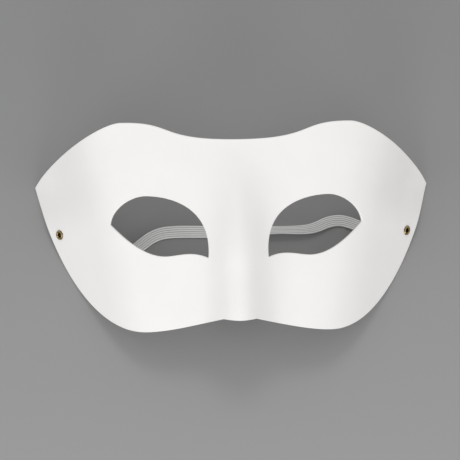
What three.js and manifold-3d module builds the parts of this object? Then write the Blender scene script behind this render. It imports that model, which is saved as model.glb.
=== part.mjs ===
// A plain white half-face mask, lying on its back rim, with a brass eyelet at each temple and a flat
// elastic strap between the two. Millimetres, +Z up. The mask is first laid out facing the wearer's
// front: u to the side, v up the forehead, w straight out of the face. It is then laid on its back.

import * as THREE from 'three';
import { mergeVertices } from 'three/addons/utils/BufferGeometryUtils.js';
import Module from 'manifold-3d';

const wasm = await Module();
wasm.setup();

// Driving dimensions
const sheetThickness = 1.2;
const lieAngle = 22; // degrees that the forehead is raised when the mask rests on its back rim
const noseHeight = 13; // of the bridge, between the inner corners of the eyes
const noseGrowth = 2; // further rise from the bridge to the foot
const noseTop = 42; // v where the nose starts, at the brow
const noseBridge = -16; // v where it has the bridge's height
const noseWidth = 12.8; // distance from its ridge where it has fallen to 1 / e
const templeReach = 1.28; // how much deeper the temple tips reach than the cheeks below them
const templeOnset = 25; // distance past the fold over which that extra depth sets in

// Sideways bend of the sheet: slope in degrees at these distances from the centre line, level with the
// middle of the face
const templeFold = 55.5; // distance where the temple panels start
const bend = [
  { at: 0, slope: 0 },
  { at: 31, slope: 2 },
  { at: templeFold, slope: 33 },
  { at: 66, slope: 44 },
  { at: 100, slope: 46.5 },
];
const bendTaper = 0.0026; // share by which the bend moves towards the centre line for each mm down the face

// Named points of the half outline and of the eye hole, as [u, v]
const browMiddle = [0, 42.2];
const browPeak = [53.5, 50.5];
const templeTip = [95, 22];
const cheekLow = [43.5, -46.5];
const noseNotch = [7.5, -40.3];
const noseFoot = [0, -41];
const eyeTop = [42.5, 16.4];
const eyeInner = [13.7, -12.4];
const eyeSill = [33.5, -11.5];
const eyeOuter = [58.6, 3.5];

// Eyelet
const eyeletAt = [82.7, -0.9];
const eyeletHole = 2.1;
const eyeletBarrel = 2.9;
const eyeletFlange = 4.6;
const eyeletBackFlange = 4.2;
const eyeletMetal = 0.45;
const eyeletBevel = 0.3;
const eyeletEdge = 0.15; // how far a flange's inner face stops short of its rim
const roundSides = 20;
const clearance = 0.3; // gap between touching pieces

// Strap
const strapWidth = 6;
const strapThickness = 0.8;
const strapBevel = 0.4;
const strapSteps = 66;
const strapGap = 0.4; // between the sheet and the strap's end
const strapTwistFrom = 4; // distances from its end between which the strap turns to lie flat
const strapTwistTo = 22;

// Strap route, from the left eyelet to the right one: off each temple's inner face in a low arch, and in
// between flat on the table
const strapRoute = [
  [-83.41, 11.82, 5.32],
  [-81.72, 9.93, 6.3],
  [-78.3, 6.5, 7.5],
  [-74.6, 3.1, 6.8],
  [-70.5, 0.6, 4.3],
  [-66.0, -1.0, 1.7],
  [-61.3, -1.5, 0.55],
  [-56.4, -0.9, 0.45],
  [-51.7, 0.9, 0.45],
  [-47.4, 3.6, 0.45],
  [-43.5, 6.7, 0.45],
  [-39.5, 9.6, 0.45],
  [-35.0, 11.5, 0.45],
  [-30.0, 12.2, 0.45],
  [-20.0, 12.3, 0.45],
  [-7.0, 12.1, 0.45],
  [7.0, 12.1, 0.45],
  [20.0, 12.3, 0.45],
  [28.0, 12.3, 0.45],
  [33.5, 12.5, 0.45],
  [37.6, 13.1, 0.45],
  [41.4, 14.4, 0.45],
  [44.9, 16.1, 0.45],
  [48.7, 17.2, 0.45],
  [52.6, 17.3, 0.5],
  [56.4, 16.1, 1.0],
  [59.9, 13.9, 2.6],
  [63.2, 11.5, 5.2],
  [66.8, 9.8, 8.0],
  [70.6, 8.9, 9.5],
  [74.6, 8.6, 9.7],
  [78.4, 9.05, 8.55],
  [81.72, 9.93, 6.3],
  [83.68, 10.5, 4.35],
];

const whiteSheet = new THREE.MeshStandardMaterial({ color: 0xf2f0ee, roughness: 0.6, metalness: 0 });
const brass = new THREE.MeshStandardMaterial({ color: 0xb08a3a, roughness: 0.3, metalness: 1 });
const whiteElastic = new THREE.MeshStandardMaterial({ color: 0xe9e9e6, roughness: 0.85, metalness: 0 });

const degrees = THREE.MathUtils.degToRad;
const { smoothstep, clamp, lerp } = THREE.MathUtils;

// Depth of the sheet behind its middle at a sideways distance. The slope angle grows evenly between two
// stations of the bend, and the integral of its tangent is the logarithm of the cosine.
function sideDepth(distance, from = 0) {
  let depth = 0;
  for (let i = 1; i < bend.length; i++) {
    const start = bend[i - 1];
    const end = bend[i];
    const rate = degrees(end.slope - start.slope) / (end.at - start.at);
    const low = clamp(from, start.at, end.at);
    const high = clamp(distance, start.at, end.at);
    const slopeLow = degrees(start.slope) + rate * (low - start.at);
    const slopeHigh = degrees(start.slope) + rate * (high - start.at);
    depth += Math.log(Math.cos(slopeLow) / Math.cos(slopeHigh)) / rate;
  }
  return depth;
}

// Height of the nose: a bell-shaped ridge that rises from the brow to the bridge and grows on to its foot.
function noseRise(distance, v) {
  const bridge = noseHeight * smoothstep(-v, -noseTop, -noseBridge);
  const growth = noseGrowth * smoothstep(-v, -noseBridge, -noseFoot[1]);
  return (bridge + growth) * Math.exp(-((distance / noseWidth) ** 2));
}

// Forward position of the sheet's middle surface at a place on the face. The temple panels reach deeper
// towards their tips.
function surface(u, v) {
  const distance = Math.abs(u) * (1 - bendTaper * v);
  const front = sideDepth(Math.min(distance, templeFold));
  const temple = sideDepth(Math.max(distance, templeFold), templeFold);
  const onset = smoothstep(distance, templeFold, templeFold + templeOnset);
  const reach = lerp(1, templeReach, onset * smoothstep(v, 0, templeTip[1]));
  return noseRise(Math.abs(u), v) - front - temple * reach;
}

// Unit vector that points out of the face at a place on the sheet, from the slopes over a small step.
function surfaceNormal(u, v) {
  const step = 0.05;
  const slopeU = (surface(u + step, v) - surface(u - step, v)) / (2 * step);
  const slopeV = (surface(u, v + step) - surface(u, v - step)) / (2 * step);
  return new THREE.Vector3(-slopeU, -slopeV, 1).normalize();
}

// Point of the sheet, moved along its normal by an offset.
function sheetPoint(u, v, offset) {
  return new THREE.Vector3(u, v, surface(u, v)).addScaledVector(surfaceNormal(u, v), offset);
}

function curve(...points) {
  return new THREE.CubicBezierCurve(...points.map(([u, v]) => new THREE.Vector2(u, v)));
}

// Half outline, from the middle of the brow round the temple and cheek to the nose and back up the
// centre line
const browEdge = curve(browMiddle, [37, 42.2], [28, 50.5], browPeak);
const templeEdge = curve(browPeak, [62.5, 50.5], [87.5, 35], templeTip);
const cheekEdge = curve(templeTip, [82.5, -25], [62.5, -46.5], cheekLow);
const muzzleEdge = curve(cheekLow, [34, -46.5], [19.5, -43.5], noseNotch);
const noseEdge = curve(noseNotch, [5, -40.7], [2, -41], noseFoot);
const centreLine = new THREE.LineCurve(new THREE.Vector2(...noseFoot), new THREE.Vector2(...browMiddle));

// Eye hole, each stretch in the same turning sense as the outline
const lidInner = curve(eyeInner, [11.5, 13.5], [35, 16.4], eyeTop);
const lidOuter = curve(eyeTop, [49.5, 16.4], [58, 10.5], eyeOuter);
const sillOuter = curve(eyeOuter, [53, -2.3], [43.5, -11.5], eyeSill);
const sillInner = curve(eyeSill, [28, -11.5], [21.3, -8.7], eyeInner);

// Sectors of the half mask: a stretch of the outline facing a stretch of the eye hole, each stretch from
// one share of its curve to another
const sectors = [
  { outer: browEdge, outerSpan: [0, 1], inner: lidInner, innerSpan: [0.5, 1], steps: 18 },
  { outer: templeEdge, outerSpan: [0, 1], inner: lidOuter, innerSpan: [0, 0.55], steps: 16 },
  { outer: cheekEdge, outerSpan: [0, 0.22], inner: lidOuter, innerSpan: [0.55, 1], steps: 8 },
  { outer: cheekEdge, outerSpan: [0.22, 1], inner: sillOuter, innerSpan: [0, 1], steps: 20 },
  { outer: muzzleEdge, outerSpan: [0, 1], inner: sillInner, innerSpan: [0, 0.85], steps: 12 },
  { outer: noseEdge, outerSpan: [0, 1], inner: sillInner, innerSpan: [0.85, 1], steps: 4 },
  { outer: centreLine, outerSpan: [0, 1], inner: lidInner, innerSpan: [0, 0.5], steps: 24 },
];
const ringSteps = 7; // steps from the eye hole to the outline

// Pairs of facing points round the half mask; open is false where the outer one is on the centre line.
function facingPairs() {
  const pairs = [];
  for (const sector of sectors) {
    for (let i = 0; i < sector.steps; i++) {
      const t = i / sector.steps;
      const outer = sector.outer.getPoint(lerp(...sector.outerSpan, t));
      const inner = sector.inner.getPoint(lerp(...sector.innerSpan, t));
      pairs.push({ outer, inner, open: sector.outer !== centreLine });
    }
  }
  return pairs;
}

// The moulded sheet: each half is a ring of facing pairs, with a front and a back face and a cut edge
// round the eye hole and the outline. The halves meet on the centre line.
function maskSheet() {
  const pairs = facingPairs();
  const positions = [];
  const triangles = [];
  const rings = ringSteps + 1;
  for (const side of [1, -1]) {
    const first = positions.length / 3;
    for (const { outer, inner } of pairs) {
      for (let ring = 0; ring < rings; ring++) {
        const place = inner.clone().lerp(outer, ring / ringSteps);
        for (const offset of [sheetThickness / 2, -sheetThickness / 2]) {
          const point = sheetPoint(place.x, place.y, offset);
          positions.push(side * point.x, point.y, point.z);
        }
      }
    }
    const corner = (column, ring, back) => first + ((column % pairs.length) * rings + ring) * 2 + back;
    const quad = (a, b, c, d) => {
      const turned = side > 0 ? [a, c, b, a, d, c] : [a, b, c, a, c, d];
      triangles.push(...turned);
    };
    for (let i = 0; i < pairs.length; i++) {
      for (let ring = 0; ring < ringSteps; ring++) {
        quad(corner(i, ring, 0), corner(i, ring + 1, 0), corner(i + 1, ring + 1, 0), corner(i + 1, ring, 0));
        quad(corner(i, ring, 1), corner(i + 1, ring, 1), corner(i + 1, ring + 1, 1), corner(i, ring + 1, 1));
      }
      quad(corner(i, 0, 0), corner(i + 1, 0, 0), corner(i + 1, 0, 1), corner(i, 0, 1));
      if (pairs[i].open) {
        const rim = ringSteps;
        quad(corner(i, rim, 0), corner(i, rim, 1), corner(i + 1, rim, 1), corner(i + 1, rim, 0));
      }
    }
  }
  const geometry = new THREE.BufferGeometry();
  geometry.setAttribute('position', new THREE.Float32BufferAttribute(positions, 3));
  geometry.setIndex(triangles);
  return geometry;
}

function toSolid(geometry) {
  const bare = geometry.clone();
  bare.deleteAttribute('normal');
  bare.deleteAttribute('uv');
  const merged = mergeVertices(bare, 1e-4);
  return new wasm.Manifold(new wasm.Mesh({
    numProp: 3,
    vertProperties: Float32Array.from(merged.attributes.position.array),
    triVerts: Uint32Array.from(merged.index.array),
  }));
}

function toGeometry(solid) {
  const mesh = solid.getMesh();
  const geometry = new THREE.BufferGeometry();
  geometry.setAttribute('position', new THREE.BufferAttribute(mesh.vertProperties, 3));
  geometry.setIndex(new THREE.BufferAttribute(mesh.triVerts, 1));
  geometry.computeVertexNormals();
  return geometry;
}

// Ring section of the eyelet, turned round the Y axis: the flat front flange at the top, the barrel, and
// the rolled flange behind the strap. Heights are from the sheet's middle surface.
function eyeletGeometry() {
  const hole = eyeletHole / 2;
  const barrel = eyeletBarrel / 2;
  const front = eyeletFlange / 2;
  const back = eyeletBackFlange / 2;
  const frontFace = sheetThickness / 2 + clearance;
  const backFace = -(sheetThickness / 2 + strapGap + strapThickness + clearance);
  const profile = [
    [hole, backFace - eyeletMetal / 2],
    [hole + eyeletBevel, backFace - eyeletMetal],
    [back - eyeletBevel, backFace - eyeletMetal],
    [back, backFace - eyeletMetal / 2],
    [back - eyeletEdge, backFace],
    [barrel, backFace],
    [barrel, frontFace],
    [front - eyeletEdge, frontFace],
    [front, frontFace + eyeletMetal / 2],
    [front - eyeletBevel, frontFace + eyeletMetal],
    [hole + eyeletBevel, frontFace + eyeletMetal],
    [hole, frontFace + eyeletMetal / 2],
    [hole, backFace - eyeletMetal / 2],
  ];
  return new THREE.LatheGeometry(profile.map(([r, y]) => new THREE.Vector2(r, y)), roundSides);
}

// Cylinder that leaves the clearance round an eyelet's barrel, long enough for the sheet and the strap.
function eyeletCutter() {
  const radius = eyeletBarrel / 2 + clearance;
  const length = 4 * (sheetThickness + strapThickness);
  return new THREE.CylinderGeometry(radius, radius, length, roundSides);
}

// Position and turn of an eyelet on the sheet: side is 1 or -1, and its axis is the sheet's normal.
function eyeletPlace(side) {
  const [u, v] = eyeletAt;
  const normal = surfaceNormal(side * u, v);
  const turn = new THREE.Quaternion().setFromUnitVectors(new THREE.Vector3(0, 1, 0), normal);
  return new THREE.Matrix4().compose(sheetPoint(side * u, v, 0), turn, new THREE.Vector3(1, 1, 1));
}

// Flat eight-sided section of the strap: x across its width, y through its thickness.
function strapSection() {
  const half = strapWidth / 2;
  const flat = half - strapBevel;
  const thick = strapThickness / 2;
  return [
    [half, -thick / 2],
    [half, thick / 2],
    [flat, thick],
    [-flat, thick],
    [-half, thick / 2],
    [-half, -thick / 2],
    [-flat, -thick],
    [flat, -thick],
  ];
}

// The strap's section carried along its route. Its face looks along the eyelets' axes at the ends and
// straight up on the table.
function strapGeometry(leftAxis, rightAxis) {
  const points = strapRoute.map((point) => new THREE.Vector3(...point));
  const route = new THREE.CatmullRomCurve3(points, false, 'centripetal');
  route.arcLengthDivisions = 10 * strapSteps;
  const length = route.getLength();
  const section = strapSection();
  const positions = [];
  const triangles = [];
  const up = new THREE.Vector3(0, 0, 1);
  for (let i = 0; i <= strapSteps; i++) {
    const t = i / strapSteps;
    const centre = route.getPointAt(t);
    const along = route.getTangentAt(t);
    const nearEnd = Math.min(t, 1 - t) * length;
    const axis = t < 0.5 ? leftAxis : rightAxis;
    const lean = 1 - smoothstep(nearEnd, strapTwistFrom, strapTwistTo);
    const face = up.clone().lerp(axis, lean);
    face.addScaledVector(along, -face.dot(along)).normalize();
    const across = new THREE.Vector3().crossVectors(along, face);
    for (const [x, y] of section) {
      const point = centre.clone().addScaledVector(across, x).addScaledVector(face, y);
      positions.push(point.x, point.y, point.z);
    }
  }
  const sides = section.length;
  for (let i = 0; i < strapSteps; i++) {
    for (let j = 0; j < sides; j++) {
      const a = i * sides + j;
      const b = i * sides + ((j + 1) % sides);
      triangles.push(a, a + sides, b, b, a + sides, b + sides);
    }
  }
  const last = strapSteps * sides;
  for (let j = 1; j < sides - 1; j++) {
    triangles.push(0, j, j + 1);
    triangles.push(last, last + j + 1, last + j);
  }
  const geometry = new THREE.BufferGeometry();
  geometry.setAttribute('position', new THREE.Float32BufferAttribute(positions, 3));
  geometry.setIndex(triangles);
  return geometry;
}

function namedMesh(name, geometry, material) {
  const mesh = new THREE.Mesh(geometry, material);
  mesh.name = name;
  return mesh;
}

const group = new THREE.Group();

// The mask lies on its back rim with the forehead raised. The lowest point of the rim is at z = 0, and the
// origin is under the middle of the sheet's box.
const lyingMask = new THREE.Group();
lyingMask.rotation.x = degrees(lieAngle);
const leftPlace = eyeletPlace(-1);
const rightPlace = eyeletPlace(1);
let shellSolid = toSolid(maskSheet());
for (const place of [leftPlace, rightPlace]) {
  shellSolid = shellSolid.subtract(toSolid(eyeletCutter().applyMatrix4(place)));
}
const shell = namedMesh('mask_shell', toGeometry(shellSolid), whiteSheet);
lyingMask.add(shell);
const eyelets = [['eyelet_left', leftPlace], ['eyelet_right', rightPlace]];
for (const [name, place] of eyelets) {
  const eyelet = namedMesh(name, eyeletGeometry(), brass);
  eyelet.applyMatrix4(place);
  lyingMask.add(eyelet);
}
lyingMask.updateMatrixWorld(true);
const lyingBox = new THREE.Box3().setFromObject(shell, true);
lyingMask.position.y = -(lyingBox.min.y + lyingBox.max.y) / 2;
lyingMask.position.z = -lyingBox.min.z;
group.add(lyingMask);
group.updateMatrixWorld(true);

// Direction of an eyelet's axis on the table
function eyeletAxis(place) {
  const axis = new THREE.Vector3(0, 1, 0);
  return axis.transformDirection(place).transformDirection(lyingMask.matrixWorld);
}

// The strap is cut round both eyelet barrels.
let strapSolid = toSolid(strapGeometry(eyeletAxis(leftPlace), eyeletAxis(rightPlace)));
for (const place of [leftPlace, rightPlace]) {
  const cutter = eyeletCutter().applyMatrix4(place).applyMatrix4(lyingMask.matrixWorld);
  strapSolid = strapSolid.subtract(toSolid(cutter));
}
group.add(namedMesh('elastic_strap', toGeometry(strapSolid), whiteElastic));

export default group;
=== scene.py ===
import math

import bmesh
import bpy
import numpy as np
from mathutils import Matrix, Vector


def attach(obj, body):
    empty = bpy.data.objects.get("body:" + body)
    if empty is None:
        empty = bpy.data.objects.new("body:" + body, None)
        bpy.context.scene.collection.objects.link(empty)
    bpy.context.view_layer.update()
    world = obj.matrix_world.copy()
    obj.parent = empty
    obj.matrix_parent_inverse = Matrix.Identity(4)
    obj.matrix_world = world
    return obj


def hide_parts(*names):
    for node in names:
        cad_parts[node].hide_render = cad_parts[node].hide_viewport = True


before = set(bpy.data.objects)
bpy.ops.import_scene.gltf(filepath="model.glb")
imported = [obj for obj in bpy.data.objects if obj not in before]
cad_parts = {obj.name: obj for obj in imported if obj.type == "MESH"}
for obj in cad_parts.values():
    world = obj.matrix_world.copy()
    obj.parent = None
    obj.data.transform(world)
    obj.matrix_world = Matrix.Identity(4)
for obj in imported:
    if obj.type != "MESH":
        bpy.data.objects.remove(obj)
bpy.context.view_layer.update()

MM = 0.001

# The moulded sheet, and how far its forehead is raised when it rests on its back rim
SHEET_THICKNESS = 1.2 * MM
EDGE_ROUNDING = 0.25 * MM
BORE_CLEARANCE = 0.1 * MM
LIE_ANGLE = math.radians(22)

# Nose: height of the bridge, further growth to the foot, v at its top and at the bridge, and the distance
# from its ridge where it has fallen to 1 / e
NOSE_HEIGHT = 13 * MM
NOSE_GROWTH = 2 * MM
NOSE_TOP = 42 * MM
NOSE_BRIDGE = -16 * MM
NOSE_WIDTH = 12.8 * MM

# Temple panels: where they start, how many times deeper than the cheeks their tips reach, and the distance
# past their start over which that extra depth sets in
TEMPLE_FOLD = 55.5 * MM
TEMPLE_REACH = 1.28
TEMPLE_ONSET = 25 * MM

# Sideways bend of the sheet: distance from the centre line and slope in degrees, and the share by which
# the bend moves towards the centre line for each metre down the face
BEND = [(0, 0), (31 * MM, 2), (TEMPLE_FOLD, 33), (66 * MM, 44), (100 * MM, 46.5)]
BEND_TAPER = 0.0026 / MM

# Named points of the half outline and of the eye hole, as (u, v) in millimetres
BROW_MIDDLE = (0, 42.2)
BROW_PEAK = (53.5, 50.5)
TEMPLE_TIP = (95, 22)
CHEEK_LOW = (43.5, -46.5)
NOSE_NOTCH = (7.5, -40.3)
NOSE_FOOT = (0, -41)
EYE_TOP = (42.5, 16.4)
EYE_INNER = (13.7, -12.4)
EYE_SILL = (33.5, -11.5)
EYE_OUTER = (58.6, 3.5)

# Eyelets: (u, v) of the right one, diameters, and the rise and the rim's height of the rolled flanges
EYELET_AT = (82.7 * MM, -0.9 * MM)
EYELET_HOLE = 2.1 * MM
EYELET_BARREL = 2.9 * MM
EYELET_FLANGE = 4.6 * MM
EYELET_BACK_FLANGE = 4.2 * MM
EYELET_DOME = 0.5 * MM
EYELET_LIP = 0.12 * MM
EYELET_SIDES = 72
EYELET_WALL_STEPS = 4

# Drill that bores the sheet and the strap for the eyelets' barrels
DRILL_LENGTH = 8 * MM
DRILL_SIDES = 48

# Strap: its section, its gap to the sheet, and the distances from its end between which it turns to lie
# flat
STRAP_WIDTH = 6 * MM
STRAP_THICKNESS = 0.8 * MM
STRAP_GAP = 0.4 * MM
STRAP_TWIST_FROM = 4 * MM
STRAP_TWIST_TO = 22 * MM
STRAP_EDGE_POWER = 8

# Braid of the strap: lengthwise ribs and slanting stitches, and the steps that its mesh has
STRAP_RIBS = 6
STRAP_RIB_DEPTH = 0.16 * MM
STRAP_STITCH = 0.8 * MM
STRAP_STITCH_DEPTH = 0.05 * MM
RIB_ROUNDNESS = 0.7
STITCH_SLANT = 0.9
# STITCH_SHADE: how far the stitches' grooves lower the mask of painted shade
STITCH_SHADE = 0.3
STRAP_STEP = 0.2 * MM
STEPS_PER_RIB = 6

# Where the lying strap rests on one of its edges: middle and reach of the turn along X, and the turn in
# degrees, towards the forehead where positive
STRAP_TURNS = [(-26 * MM, 22 * MM, -18), (22 * MM, 19 * MM, 30)]

# Strap route from the left eyelet to the right one, in millimetres
STRAP_ROUTE = [
    (-83.41, 11.82, 5.32),
    (-81.72, 9.93, 6.3),
    (-78.3, 6.5, 7.5),
    (-74.6, 3.1, 6.8),
    (-70.5, 0.6, 4.3),
    (-66.0, -1.0, 1.7),
    (-61.3, -1.5, 0.55),
    (-56.4, -0.9, 0.45),
    (-51.7, 0.9, 0.45),
    (-47.4, 3.6, 0.45),
    (-43.5, 6.7, 0.45),
    (-39.5, 9.6, 0.45),
    (-35.0, 11.5, 0.45),
    (-30.0, 12.2, 0.45),
    (-20.0, 12.3, 0.45),
    (-7.0, 12.1, 0.45),
    (7.0, 12.1, 0.45),
    (20.0, 12.3, 0.45),
    (28.0, 12.3, 0.45),
    (33.5, 12.5, 0.45),
    (37.6, 13.1, 0.45),
    (41.4, 14.4, 0.45),
    (44.9, 16.1, 0.45),
    (48.7, 17.2, 0.45),
    (52.6, 17.3, 0.5),
    (56.4, 16.1, 1.0),
    (59.9, 13.9, 2.6),
    (63.2, 11.5, 5.2),
    (66.8, 9.8, 8.0),
    (70.6, 8.9, 9.5),
    (74.6, 8.6, 9.7),
    (78.4, 9.05, 8.55),
    (81.72, 9.93, 6.3),
    (83.68, 10.5, 4.35),
]

# Camera: how far it stands in front of the mask, and how it is turned and framed
CAMERA_DISTANCE = 902.5 * MM
CAMERA_TO_LEFT = math.radians(3.05)
CAMERA_ROLL = math.radians(-0.79)
CAMERA_SENSOR = 36.0
CAMERA_NEAR = 0.05
IMAGE_WIDTH = 460
FOCAL_PIXELS = 1955.2
AXIS_PIXEL = (237.75, 230.55)

# Softboxes round the camera's line, all as far from it and aimed at the same place, and the even sky
LAMP_DISTANCE = 1.2
LAMP_OFF_LINE = math.radians(56)
LAMP_WIDTH = 0.4
LAMP_AIM = (0, 0, 30 * MM)
SKY_STRENGTH = 0.62

# Each softbox: name, turn from the right in degrees, and power in watts
LAMPS = [
    ("right_softbox", 0, 0.6),
    ("upper_softbox", 90, 2.1),
    ("left_softbox", 180, 0.8),
    ("lower_left_softbox", 225, 2.3),
    ("lower_softbox", 270, 3.6),
    ("lower_right_softbox", 315, 1.5),
]

# Half the floor's width, and the distance within which a mesh's points are one
FLOOR_REACH = 3.0
MERGE_DISTANCE = 1e-6


# Shader maths


class Number:
    """A number socket of a finish. Arithmetic on it adds Math nodes."""

    def __init__(self, finish, socket):
        self.finish = finish
        self.socket = socket

    def math(self, operation, *values):
        made = self.finish.node("ShaderNodeMath", {"operation": operation}, dict(enumerate(values)))
        return Number(self.finish, made.outputs[0])

    def __add__(self, other):
        return self.math("ADD", self, other)

    def __sub__(self, other):
        return self.math("SUBTRACT", self, other)

    def __mul__(self, other):
        return self.math("MULTIPLY", self, other)

    __radd__ = __add__
    __rmul__ = __mul__


class Finish:
    """A node material in the making, for one piece or several of the same stuff."""

    def __init__(self, name):
        self.material = bpy.data.materials.new(name)
        self.material.use_nodes = True
        self.tree = self.material.node_tree
        self.tree.nodes.clear()
        self.place = self.node("ShaderNodeTexCoord").outputs["Object"]

    def node(self, kind, settings=(), inputs=()):
        """Adds a node of that kind: its settings are set first, then the values or links of its sockets."""
        made = self.tree.nodes.new(kind)
        for name, value in dict(settings).items():
            setattr(made, name, value)
        for name, value in dict(inputs).items():
            self.feed(made.inputs[name], value)
        return made

    def feed(self, socket, value):
        """Links the value to the socket if it is another socket or a Number, and else sets it."""
        source = value.socket if isinstance(value, Number) else value
        if isinstance(source, bpy.types.NodeSocket):
            self.tree.links.new(source, socket)
        else:
            socket.default_value = source

    def noise(self, size, detail, roughness=0.5):
        """Noise from 0 to 1 whose blots are about that size."""
        inputs = {"Vector": self.place, "Scale": 1 / size, "Detail": detail, "Roughness": roughness}
        made = self.node("ShaderNodeTexNoise", {"normalize": True}, inputs)
        return Number(self, made.outputs["Fac"])

    def attribute(self, name):
        made = self.node("ShaderNodeAttribute", {"attribute_name": name})
        return Number(self, made.outputs["Fac"])

    def between(self, value, low, high):
        """0 where the value is at low or below, 1 at high or above, and smooth between."""
        settings = {"interpolation_type": "SMOOTHSTEP"}
        made = self.node("ShaderNodeMapRange", settings, {"Value": value, "From Min": low, "From Max": high})
        return Number(self, made.outputs["Result"])

    def mix(self, amount, first, second):
        """A colour between two others. The node has one set of sockets for each kind of value."""
        made = self.node("ShaderNodeMix", {"data_type": "RGBA"})
        for name, kind, value in [("Factor", "VALUE", amount), ("A", "RGBA", first), ("B", "RGBA", second)]:
            self.feed(next(s for s in made.inputs if s.name == name and s.type == kind), value)
        return next(s for s in made.outputs if s.type == "RGBA")

    def bump(self, height, depth, normal=None):
        """A bump whose height runs from 0 to 1 over that depth, on top of another one if given."""
        inputs = {"Height": height, "Strength": 1.0, "Distance": depth}
        if normal is not None:
            inputs["Normal"] = normal
        return self.node("ShaderNodeBump", {}, inputs).outputs["Normal"]

    def surface(self, inputs):
        """Ends the finish with one Principled shader."""
        shader = self.node("ShaderNodeBsdfPrincipled", {}, inputs)
        self.node("ShaderNodeOutputMaterial", {}, {"Surface": shader.outputs["BSDF"]})
        return self.material


def white_sheet_finish():
    """Matte white moulded sheet: a faint cloudiness, fine fibres, and a rougher, warmer inner side."""
    finish = Finish("white_sheet")
    inner = finish.attribute("inner_side")
    clouds = finish.noise(14 * MM, 3)
    fibres = finish.noise(0.7 * MM, 4, 0.65)
    pressing = finish.noise(6 * MM, 2)
    outer_white = finish.mix(clouds, (0.875, 0.862, 0.847, 1), (0.915, 0.902, 0.887, 1))
    inner_white = finish.mix(clouds, (0.80, 0.785, 0.76, 1), (0.86, 0.85, 0.83, 1))
    color = finish.mix(inner, outer_white, inner_white)
    rough = 0.36 + 0.06 * fibres + 0.15 * inner
    grain = finish.bump(fibres * (0.4 + 0.6 * inner), 0.035 * MM)
    relief = finish.bump(pressing, 0.06 * MM, grain)
    inputs = {"Base Color": color, "Roughness": rough, "Normal": relief, "Specular IOR Level": 0.5}
    return finish.surface(inputs)


def brass_finish():
    """Stamped brass: brown, with dark patches at random that are both tarnish and painted dark reflection,
    lighter along the crest of its flanges, and with fine marks.
    """
    finish = Finish("eyelet_brass")
    crest_share = finish.attribute("flange_crest")
    tarnish_and_dark_reflection = finish.between(finish.noise(1.1 * MM, 3) - 0.3 * crest_share, 0.12, 0.42)
    marks = finish.noise(0.12 * MM, 3, 0.7)
    # Part tarnish, part painted reflection: the dark colour darkens the metal as if it mirrored a dark room
    color = finish.mix(tarnish_and_dark_reflection, (0.62, 0.48, 0.24, 1), (0.15, 0.105, 0.045, 1))
    rough = 0.12 + 0.1 * marks + 0.16 * tarnish_and_dark_reflection
    relief = finish.bump(marks, 0.006 * MM)
    return finish.surface({"Base Color": color, "Metallic": 1.0, "Roughness": rough, "Normal": relief})


def elastic_finish():
    """Braided elastic: off-white yarn, with painted shade that greys it in the valleys between the ribs and
    in the stitches' grooves.
    """
    finish = Finish("white_elastic")
    height = finish.attribute("rib_shade")
    yarn = finish.noise(0.18 * MM, 3, 0.6)
    soiling = finish.noise(9 * MM, 2)
    crest = finish.mix(soiling, (0.86, 0.86, 0.85, 1), (0.92, 0.92, 0.91, 1))
    # Painted shade: the yarn turns grey where the rib is low, in the valleys and stitch grooves
    color = finish.mix(finish.between(height, 0.15, 0.9), (0.42, 0.42, 0.42, 1), crest)
    relief = finish.bump(yarn, 0.03 * MM)
    rough = 0.8 + 0.1 * yarn
    inputs = {"Base Color": color, "Roughness": rough, "Normal": relief, "Specular IOR Level": 0.3}
    return finish.surface(inputs)


def floor_finish():
    """Plain smooth grey card, with painted light: a little lighter towards the viewer, as the light falls
    off across it.
    """
    finish = Finish("floor_card")
    depth = Number(finish, finish.node("ShaderNodeSeparateXYZ", {}, {"Vector": finish.place}).outputs["Y"])
    # Painted light falloff: the grey brightens towards the viewer
    color = finish.mix(finish.between(depth, -0.22, 0.16), (0.36, 0.36, 0.36, 1), (0.28, 0.28, 0.28, 1))
    return finish.surface({"Base Color": color, "Roughness": 0.8, "Specular IOR Level": 0.2})


# Form of the moulded sheet


def smoothstep(x, low, high):
    """0 at low, 1 at high, and 3t^2 - 2t^3 between."""
    t = np.clip((x - low) / (high - low), 0, 1)
    return t * t * (3 - 2 * t)


def side_depth(distance, start=0.0):
    """Depth of the sheet behind its middle at a sideways distance. The slope angle grows evenly between
    two stations of the bend, and the integral of its tangent is the logarithm of the cosine."""
    depth = np.zeros_like(distance)
    for (near, near_slope), (far, far_slope) in zip(BEND, BEND[1:]):
        rate = math.radians(far_slope - near_slope) / (far - near)
        low = math.radians(near_slope) + rate * (np.clip(start, near, far) - near)
        high = math.radians(near_slope) + rate * (np.clip(distance, near, far) - near)
        depth = depth + np.log(np.cos(low) / np.cos(high)) / rate
    return depth


def nose_rise(distance, v):
    """Height of the nose: a bell exp(-x^2) across, which rises from the brow and grows on to its foot."""
    bridge = NOSE_HEIGHT * smoothstep(-v, -NOSE_TOP, -NOSE_BRIDGE)
    growth = NOSE_GROWTH * smoothstep(-v, -NOSE_BRIDGE, -NOSE_FOOT[1] * MM)
    return (bridge + growth) * np.exp(-((distance / NOSE_WIDTH) ** 2))


def sheet_depth(u, v):
    """Forward position of the sheet's middle surface: the nose, less the bend of the front and of the
    temple, which reaches deeper towards its tip and sets in softly past the fold."""
    distance = np.abs(u) * (1 - BEND_TAPER * v)
    front = side_depth(np.minimum(distance, TEMPLE_FOLD))
    temple = side_depth(np.maximum(distance, TEMPLE_FOLD), TEMPLE_FOLD)
    onset = smoothstep(distance, TEMPLE_FOLD, TEMPLE_FOLD + TEMPLE_ONSET)
    reach = 1 + (TEMPLE_REACH - 1) * onset * smoothstep(v, 0, TEMPLE_TIP[1] * MM)
    return nose_rise(np.abs(u), v) - front - temple * reach


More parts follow.
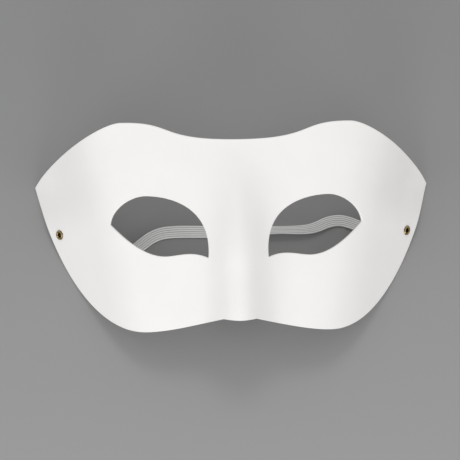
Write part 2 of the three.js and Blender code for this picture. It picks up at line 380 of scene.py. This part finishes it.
def sheet_normal(u, v):
    """Unit vectors out of the face, from the slopes over a small step."""
    step = 0.05 * MM
    slope_u = (sheet_depth(u + step, v) - sheet_depth(u - step, v)) / (2 * step)
    slope_v = (sheet_depth(u, v + step) - sheet_depth(u, v - step)) / (2 * step)
    normal = np.stack([-slope_u, -slope_v, np.ones_like(slope_u)], -1)
    return normal / np.linalg.norm(normal, axis=-1, keepdims=True)


def sheet_points(u, v, offset):
    """Points of the sheet, moved along its normals by an offset."""
    middle = np.stack([u, v, sheet_depth(u, v)], -1)
    return middle + sheet_normal(u, v) * np.asarray(offset)[..., None]


def bezier(points, t):
    """Cubic Bezier curve: its four points weighted by (1-t)^3, 3t(1-t)^2, 3t^2(1-t) and t^3."""
    a, b, c, d = (np.array(p, float) * MM for p in points)
    t = t[:, None]
    return a * (1 - t) ** 3 + 3 * b * t * (1 - t) ** 2 + 3 * c * t**2 * (1 - t) + d * t**3


# Half outline from the middle of the brow round to the nose and back up the straight centre line, and the
# eye hole in the same turning sense, each stretch by its four Bezier points
BROW_EDGE = (BROW_MIDDLE, (37, 42.2), (28, 50.5), BROW_PEAK)
TEMPLE_EDGE = (BROW_PEAK, (62.5, 50.5), (87.5, 35), TEMPLE_TIP)
CHEEK_EDGE = (TEMPLE_TIP, (82.5, -25), (62.5, -46.5), CHEEK_LOW)
MUZZLE_EDGE = (CHEEK_LOW, (34, -46.5), (19.5, -43.5), NOSE_NOTCH)
NOSE_EDGE = (NOSE_NOTCH, (5, -40.7), (2, -41), NOSE_FOOT)
CENTRE_THIRD = (BROW_MIDDLE[1] - NOSE_FOOT[1]) / 3
CENTRE_LOWER = (0, NOSE_FOOT[1] + CENTRE_THIRD)
CENTRE_UPPER = (0, BROW_MIDDLE[1] - CENTRE_THIRD)
CENTRE_LINE = (NOSE_FOOT, CENTRE_LOWER, CENTRE_UPPER, BROW_MIDDLE)

LID_INNER = (EYE_INNER, (11.5, 13.5), (35, 16.4), EYE_TOP)
LID_OUTER = (EYE_TOP, (49.5, 16.4), (58, 10.5), EYE_OUTER)
SILL_OUTER = (EYE_OUTER, (53, -2.3), (43.5, -11.5), EYE_SILL)
SILL_INNER = (EYE_SILL, (28, -11.5), (21.3, -8.7), EYE_INNER)

# Sectors of the half mask: a stretch of the outline facing a stretch of the eye hole, each from one share
# of its curve to another, and the steps
SECTORS = [
    (BROW_EDGE, (0, 1), LID_INNER, (0.5, 1), 72),
    (TEMPLE_EDGE, (0, 1), LID_OUTER, (0, 0.55), 64),
    (CHEEK_EDGE, (0, 0.22), LID_OUTER, (0.55, 1), 32),
    (CHEEK_EDGE, (0.22, 1), SILL_OUTER, (0, 1), 80),
    (MUZZLE_EDGE, (0, 1), SILL_INNER, (0, 0.85), 48),
    (NOSE_EDGE, (0, 1), SILL_INNER, (0.85, 1), 20),
    (CENTRE_LINE, (0, 1), LID_INNER, (0, 0.5), 96),
]

# Rings between the eye hole and the outline, how much they bunch near both, and the steps round an edge
RINGS = 36
RING_BUNCHING = 0.85
EDGE_STEPS = 6


def edge_direction(points, turn):
    """Unit vectors square to a line of (u, v) points: turn 1 gives its left side and -1 its right side.
    The line's first and last points only serve as neighbours and get no vector of their own."""
    along = points[2:] - points[:-2]
    side = np.stack([-along[:, 1], along[:, 0]], 1) * turn
    return side / np.linalg.norm(side, axis=1, keepdims=True)


def half_sheet():
    """Vertices and quads of the right half of the sheet, and each vertex's share of the inner side: 0 on the
    front and 1 on the back. Each column is one closed path round the sheet's thickness: along the front
    from the eye hole to the outline, round the edge, back, and round the edge of the eye hole."""
    spans = []
    for outer, outer_span, inner, inner_span, steps in SECTORS:
        t = np.arange(steps) / steps
        spans.append((bezier(outer, outer_span[0] + (outer_span[1] - outer_span[0]) * t),
                      bezier(inner, inner_span[0] + (inner_span[1] - inner_span[0]) * t)))
    outer = np.concatenate([span[0] for span in spans])
    inner = np.concatenate([span[1] for span in spans])
    columns = len(outer)
    last_open = columns - SECTORS[-1][-1]

    mirror = np.array([-1, 1])
    open_line = outer[: last_open + 1]
    with_ends = np.concatenate([open_line[1:2] * mirror, open_line, open_line[-2:-1] * mirror])
    outward = np.zeros_like(outer)
    outward[: last_open + 1] = edge_direction(with_ends, 1)
    into_hole = edge_direction(np.concatenate([inner[-1:], inner, inner[:1]]), -1)
    outer = outer - outward * EDGE_ROUNDING
    inner = inner - into_hole * EDGE_ROUNDING

    even = np.linspace(0, 1, RINGS + 1)
    share = even - RING_BUNCHING * np.sin(2 * np.pi * even) / (2 * np.pi)
    turn = np.pi / 2 - np.pi * np.arange(1, EDGE_STEPS) / EDGE_STEPS
    flat = np.zeros(RINGS + 1)
    front = np.full(RINGS + 1, SHEET_THICKNESS / 2)
    edge = np.cos(turn) * EDGE_ROUNDING
    edge_height = np.sin(turn) * SHEET_THICKNESS / 2
    none = np.zeros_like(edge)
    share = np.concatenate([share, none + 1, share[::-1], none])
    push_out = np.concatenate([flat, edge, flat, none])
    push_in = np.concatenate([flat, none, flat, edge])
    offset = np.concatenate([front, edge_height, -front, -edge_height])

    place = inner[:, None] + (outer - inner)[:, None] * share[None, :, None]
    place = place + outward[:, None] * push_out[None, :, None] + into_hole[:, None] * push_in[None, :, None]
    points = sheet_points(place[..., 0], place[..., 1], np.broadcast_to(offset, place.shape[:2]))

    path = len(share)
    column, step = np.meshgrid(np.arange(columns), np.arange(path), indexing="ij")
    on_edge = (step >= RINGS) & (step < RINGS + EDGE_STEPS)
    kept = ~(on_edge & (column >= last_open))
    column, step = column[kept], step[kept]
    here, after = column * path, (column + 1) % columns * path
    beyond = (step + 1) % path
    quads = np.stack([here + step, here + beyond, after + beyond, after + step], 1)
    inner_side = np.broadcast_to(0.5 - offset / SHEET_THICKNESS, place.shape[:2])
    return points.reshape(-1, 3), quads, inner_side.reshape(-1)


# Meshes


def new_mesh(name, points, faces, attributes=()):
    """A mesh from arrays of points and faces, without unused points, and with named point attributes."""
    used, faces = np.unique(faces, return_inverse=True)
    faces = faces.reshape(-1, 4)
    mesh = bpy.data.meshes.new(name)
    mesh.from_pydata(points[used].tolist(), [], faces.tolist())
    for attribute, values in dict(attributes).items():
        made = mesh.attributes.new(attribute, "FLOAT", "POINT")
        made.data.foreach_set("value", values[used].astype(np.float32))
    return mesh


def closed_up(mesh):
    """Merges doubles and turns all faces outwards."""
    work = bmesh.new()
    work.from_mesh(mesh)
    bmesh.ops.remove_doubles(work, verts=work.verts, dist=MERGE_DISTANCE)
    bmesh.ops.recalc_face_normals(work, faces=work.faces)
    work.to_mesh(mesh)
    work.free()
    mesh.shade_smooth()
    return mesh


def new_piece(name, mesh, material, slot, *nodes):
    """An object of that mesh, which rides on the root body and stands for its CAD nodes."""
    piece = bpy.data.objects.new(name, mesh)
    bpy.context.scene.collection.objects.link(piece)
    mesh.materials.clear()
    mesh.materials.append(material)
    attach(piece, "root")
    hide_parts(*nodes)
    return piece


def grid_faces(rows, columns):
    """Quads of a grid closed along its columns: each joins a row to the next one."""
    row, column = np.meshgrid(np.arange(rows - 1), np.arange(columns), indexing="ij")
    here, after = row * columns, (row + 1) * columns
    beside = (column + 1) % columns
    return np.stack([here + column, here + beside, after + beside, after + column], -1).reshape(-1, 4)


def lathe_mesh(name, profile, sides, matrix, attributes):
    """A closed profile of (radius, height) turned round the Z axis, then placed by a matrix. Each named
    attribute has one value for each point of the profile."""
    angle = 2 * np.pi * np.arange(sides) / sides
    radius, height = profile[:, 0], profile[:, 1]
    x = radius[:, None] * np.cos(angle)
    y = radius[:, None] * np.sin(angle)
    z = np.broadcast_to(height[:, None], x.shape)
    points = np.stack([x, y, z], -1)
    points = np.concatenate([points, points[:1]]).reshape(-1, 3)
    spread = {key: np.repeat(np.append(values, values[0]), sides) for key, values in attributes.items()}
    mesh = closed_up(new_mesh(name, points, grid_faces(len(profile) + 1, sides), spread))
    mesh.transform(matrix)
    return mesh


def pierced(mesh, places, radius):
    """The mesh with a round hole bored through it at each place, along that place's Z axis."""
    piece = bpy.data.objects.new(mesh.name, mesh)
    bpy.context.scene.collection.objects.link(piece)
    drills = []
    for place in places:
        work = bmesh.new()
        size = {"radius1": radius, "radius2": radius, "depth": DRILL_LENGTH}
        bmesh.ops.create_cone(work, cap_ends=True, segments=DRILL_SIDES, **size)
        drill_mesh = bpy.data.meshes.new("drill")
        work.to_mesh(drill_mesh)
        work.free()
        drill_mesh.transform(place)
        drill = bpy.data.objects.new("drill", drill_mesh)
        bpy.context.scene.collection.objects.link(drill)
        cut = piece.modifiers.new("bore", "BOOLEAN")
        cut.operation = "DIFFERENCE"
        cut.solver = "EXACT"
        cut.object = drill
        drills.append(drill)
    graph = bpy.context.evaluated_depsgraph_get()
    bored = bpy.data.meshes.new_from_object(piece.evaluated_get(graph))
    bored.shade_smooth()
    for extra in [piece, *drills]:
        bpy.data.objects.remove(extra)
    return bored


# The mask, laid on its back rim as the frame has it


def lying_matrix(points):
    """Turns the mask onto its back rim, and puts its box over the origin."""
    turn = Matrix.Rotation(LIE_ANGLE, 4, "X")
    turned = points @ np.array(turn.to_3x3()).T
    low, high = turned.min(0), turned.max(0)
    return Matrix.Translation((0, -(low[1] + high[1]) / 2, -low[2])) @ turn


def eyelet_matrix(side):
    """Place of an eyelet on the sheet, with its Z axis along the sheet's normal."""
    u, v = np.array(side * EYELET_AT[0]), np.array(EYELET_AT[1])
    turn = Vector(sheet_normal(u, v)).to_track_quat("Z", "Y").to_matrix().to_4x4()
    return Matrix.Translation(sheet_points(u, v, 0.0)) @ turn


half_points, half_quads, half_inner = half_sheet()
sheet_vertices = np.concatenate([half_points, half_points * [-1, 1, 1]])
sheet_quads = np.concatenate([half_quads, half_quads + len(half_points)])
lying = lying_matrix(sheet_vertices)
eyelet_places = {"eyelet_left": lying @ eyelet_matrix(-1), "eyelet_right": lying @ eyelet_matrix(1)}


# Camera


def make_camera():
    """Looks at the lying mask along its face's normal, swung a little to the left. The shift puts its line
    of sight at the axis pixel, counted from the picture's top left corner."""
    camera = bpy.data.objects.new("camera", bpy.data.cameras.new("camera"))
    bpy.context.scene.collection.objects.link(camera)
    camera.data.sensor_width = CAMERA_SENSOR
    camera.data.lens = FOCAL_PIXELS / IMAGE_WIDTH * CAMERA_SENSOR
    camera.data.shift_x = (IMAGE_WIDTH / 2 - AXIS_PIXEL[0]) / IMAGE_WIDTH
    camera.data.shift_y = (AXIS_PIXEL[1] - IMAGE_WIDTH / 2) / IMAGE_WIDTH
    camera.data.clip_start = CAMERA_NEAR
    swing = Matrix.Rotation(-CAMERA_TO_LEFT, 4, "Y") @ Matrix.Translation((0, 0, CAMERA_DISTANCE))
    camera.matrix_world = lying @ swing @ Matrix.Rotation(CAMERA_ROLL, 4, "Z")
    bpy.context.scene.camera = camera


# Strap


def smooth_route(points, pieces=40):
    """Centripetal Catmull-Rom curve through the points: each stretch is a cubic whose end slopes come
    from its neighbours, over steps that are the square roots of the points' distances."""
    points = np.array(points, float) * MM
    points = np.concatenate([2 * points[:1] - points[1:2], points, 2 * points[-1:] - points[-2:-1]])
    step = np.sqrt(np.linalg.norm(np.diff(points, axis=0), axis=1))[:, None]
    p0, p1, p2, p3 = points[:-3], points[1:-2], points[2:-1], points[3:]
    s0, s1, s2 = step[:-2], step[1:-1], step[2:]
    start = ((p1 - p0) / s0 - (p2 - p0) / (s0 + s1) + (p2 - p1) / s1) * s1
    end = ((p2 - p1) / s1 - (p3 - p1) / (s1 + s2) + (p3 - p2) / s2) * s1
    t = (np.arange(pieces) / pieces)[None, :, None]
    curve = (p1[:, None] + start[:, None] * t
             + (3 * (p2 - p1) - 2 * start - end)[:, None] * t**2
             + (2 * (p1 - p2) + start + end)[:, None] * t**3)
    return np.concatenate([curve.reshape(-1, 3), points[-2:-1]])


def even_points(line, spacing):
    """The line's points at even steps of about that spacing, and how far along it each one is."""
    length = np.concatenate([[0], np.cumsum(np.linalg.norm(np.diff(line, axis=0), axis=1))])
    at = np.linspace(0, length[-1], round(length[-1] / spacing) + 1)
    return np.stack([np.interp(at, length, line[:, axis]) for axis in range(3)], 1), at


def strap_section(across, along):
    """Half thickness of the braid and the height of its ribs from 0 to 1, lowered in the stitches' grooves,
    which serves only as the mask of painted shade. Each rib is an arch, crossed by stitches that slant one
    way on every second rib and the other way on the rest. The edges are round."""
    rib = (across / STRAP_WIDTH + 0.5) * STRAP_RIBS
    number = np.clip(np.floor(rib), 0, STRAP_RIBS - 1)
    beside = rib - number - 0.5
    arch = np.cos(np.pi * np.clip(beside, -0.5, 0.5)) ** RIB_ROUNDNESS
    slant = np.where(number % 2 == 0, 1.0, -1.0) * beside * STITCH_SLANT
    stitch = 0.5 + 0.5 * np.cos(2 * np.pi * (along / STRAP_STITCH + slant))
    height = arch * (1 - STITCH_SHADE * (1 - stitch))
    base = STRAP_THICKNESS / 2 - STRAP_RIB_DEPTH - STRAP_STITCH_DEPTH / 2
    edge = np.sqrt(np.clip(1 - np.abs(2 * across / STRAP_WIDTH) ** STRAP_EDGE_POWER, 0, 1))
    thick = (base + STRAP_RIB_DEPTH * arch + STRAP_STITCH_DEPTH * arch * (stitch - 0.5)) * edge
    return thick, height


def make_strap():
    """The section carried along the route. Its face looks along the eyelets' axes at the ends and up from
    the table between them, but for the turns onto an edge."""
    line, at = even_points(smooth_route(STRAP_ROUTE), STRAP_STEP)
    length = at[-1]
    along = np.gradient(line, axis=0)
    along /= np.linalg.norm(along, axis=1, keepdims=True)
    near_end = np.minimum(at, length - at)
    lean = 1 - smoothstep(near_end, STRAP_TWIST_FROM, STRAP_TWIST_TO)
    axes = [np.array(place.to_3x3() @ Vector((0, 0, 1))) for place in eyelet_places.values()]
    axis = np.where((at < length / 2)[:, None], axes[0], axes[1])
    face = np.array([0, 0, 1.0]) * (1 - lean[:, None]) + axis * lean[:, None]
    face -= along * (face * along).sum(1, keepdims=True)
    face /= np.linalg.norm(face, axis=1, keepdims=True)
    turn = sum(math.radians(most) * np.exp(-(((line[:, :1] - middle) / reach) ** 2))
               for middle, reach, most in STRAP_TURNS)
    face = face * np.cos(turn) - np.cross(along, face) * np.sin(turn)
    side = np.cross(along, face)
    line = line + [0, 0, STRAP_WIDTH / 2] * np.abs(np.sin(turn))

    # Half evenly spaced across the width, and half bunched at its edges
    even = np.linspace(-1, 1, STEPS_PER_RIB * STRAP_RIBS + 1)
    angle = np.linspace(0, np.pi, STEPS_PER_RIB * STRAP_RIBS + 1)
    across = STRAP_WIDTH / 2 * (0.5 * even - 0.5 * np.cos(angle))
    top, top_height = strap_section(across[None], at[:, None])
    below, below_height = strap_section(across[None], at[:, None] + STRAP_STITCH / 2)
    x = np.concatenate([across, across[-2:0:-1]])
    y = np.concatenate([top, -below[:, -2:0:-1]], 1)
    height = np.concatenate([top_height, below_height[:, -2:0:-1]], 1)
    points = line[:, None] + side[:, None] * x[None, :, None] + face[:, None] * y[..., None]
    rows, columns = y.shape
    faces = grid_faces(rows, columns)
    k = np.arange(columns // 2)
    cap = np.stack([k, (columns - k) % columns, (columns - k - 1) % columns, k + 1], 1)
    faces = np.concatenate([faces, cap, cap[:, ::-1] + (rows - 1) * columns])
    # The rib height goes to the finish as the mask of painted shade in the valleys and stitch grooves
    mesh = new_mesh("strap", points.reshape(-1, 3), faces, {"rib_shade": height.reshape(-1)})
    mesh = pierced(closed_up(mesh), eyelet_places.values(), EYELET_BARREL / 2)
    strap = new_piece("ribbed_strap", mesh, elastic_finish(), "white_elastic", "elastic_strap")


# Sheet and eyelets


def make_sheet():
    both_inner = np.concatenate([half_inner, half_inner])
    mesh = new_mesh("sheet", sheet_vertices, sheet_quads, {"inner_side": both_inner})
    mesh.transform(lying)
    mesh = pierced(closed_up(mesh), eyelet_places.values(), EYELET_BARREL / 2 + BORE_CLEARANCE)
    new_piece("moulded_sheet", mesh, white_sheet_finish(), "white_sheet", "mask_shell")


def rolled_edge(inside, outside, base, height, steps=14):
    """Half an ellipse of (radius, height) points, from the inside radius over the top to the outside."""
    turn = np.pi * np.arange(steps + 1) / steps
    radius = (inside + outside) / 2 - (outside - inside) / 2 * np.cos(turn)
    return np.stack([radius, base + height * np.sin(turn)], 1)


def make_eyelets():
    """Each eyelet is one closed profile turned round its axis: a rolled flange on the front, the barrel
    and a rolled flange behind the strap."""
    hole, barrel = EYELET_HOLE / 2, EYELET_BARREL / 2
    front_base = SHEET_THICKNESS / 2
    back_base = -(SHEET_THICKNESS / 2 + STRAP_GAP + STRAP_THICKNESS)
    front = rolled_edge(hole, EYELET_FLANGE / 2, front_base + EYELET_LIP, EYELET_DOME)
    back = rolled_edge(hole, EYELET_BACK_FLANGE / 2, -back_base + EYELET_LIP, EYELET_DOME) * [1, -1]
    under_front = np.array([[EYELET_FLANGE / 2 - EYELET_LIP, front_base], [barrel, front_base]])
    under_back = np.array([[barrel, back_base], [EYELET_BACK_FLANGE / 2 - EYELET_LIP, back_base]])
    wall = np.linspace(back[0], front[0], EYELET_WALL_STEPS + 1)[1:-1]
    profile = np.concatenate([wall, front, under_front, under_back, back[::-1]])
    above_base = np.maximum(profile[:, 1] - front_base, back_base - profile[:, 1])
    crest_share = np.clip((above_base - EYELET_LIP) / EYELET_DOME, 0, 1)
    finish = brass_finish()
    for node, place in eyelet_places.items():
        mesh = lathe_mesh(node, profile, EYELET_SIDES, place, {"flange_crest": crest_share})
        new_piece("brass_" + node, mesh, finish, "eyelet_brass", node)


# Surroundings


def make_floor():
    corners = FLOOR_REACH * np.array([[-1, -1, 0], [1, -1, 0], [1, 1, 0], [-1, 1, 0]])
    mesh = new_mesh("floor", corners, np.array([[0, 1, 2, 3]]))
    floor = bpy.data.objects.new("floor", mesh)
    bpy.context.scene.collection.objects.link(floor)
    mesh.materials.append(floor_finish())


def softbox(name, place, aim, power):
    """A square soft light at a place, turned towards another."""
    light = bpy.data.lights.new(name, "AREA")
    light.shape = "SQUARE"
    light.size = LAMP_WIDTH
    light.energy = power
    lamp = bpy.data.objects.new(name, light)
    bpy.context.scene.collection.objects.link(lamp)
    lamp.location = place
    lamp.rotation_euler = (aim - place).to_track_quat("-Z", "Y").to_euler()


def make_light():
    """Softboxes in a ring round the camera's line, each at its own turn from the right, and an even sky."""
    aim = Vector(LAMP_AIM)
    camera_axes = bpy.context.scene.camera.matrix_world.to_3x3()
    beside, ahead = math.sin(LAMP_OFF_LINE), math.cos(LAMP_OFF_LINE)
    for name, turn, power in LAMPS:
        turn = math.radians(turn)
        ray = Vector((beside * math.cos(turn), beside * math.sin(turn), ahead))
        softbox(name, aim + camera_axes @ ray * LAMP_DISTANCE, aim, power)
    world = bpy.data.worlds.new("studio")
    world.use_nodes = True
    sky = world.node_tree.nodes["Background"]
    sky.inputs["Color"].default_value = (1, 1, 1, 1)
    sky.inputs["Strength"].default_value = SKY_STRENGTH
    bpy.context.scene.world = world
    bpy.context.scene.view_settings.view_transform = "Standard"


make_camera()
make_strap()
make_sheet()
make_eyelets()
make_floor()
make_light()
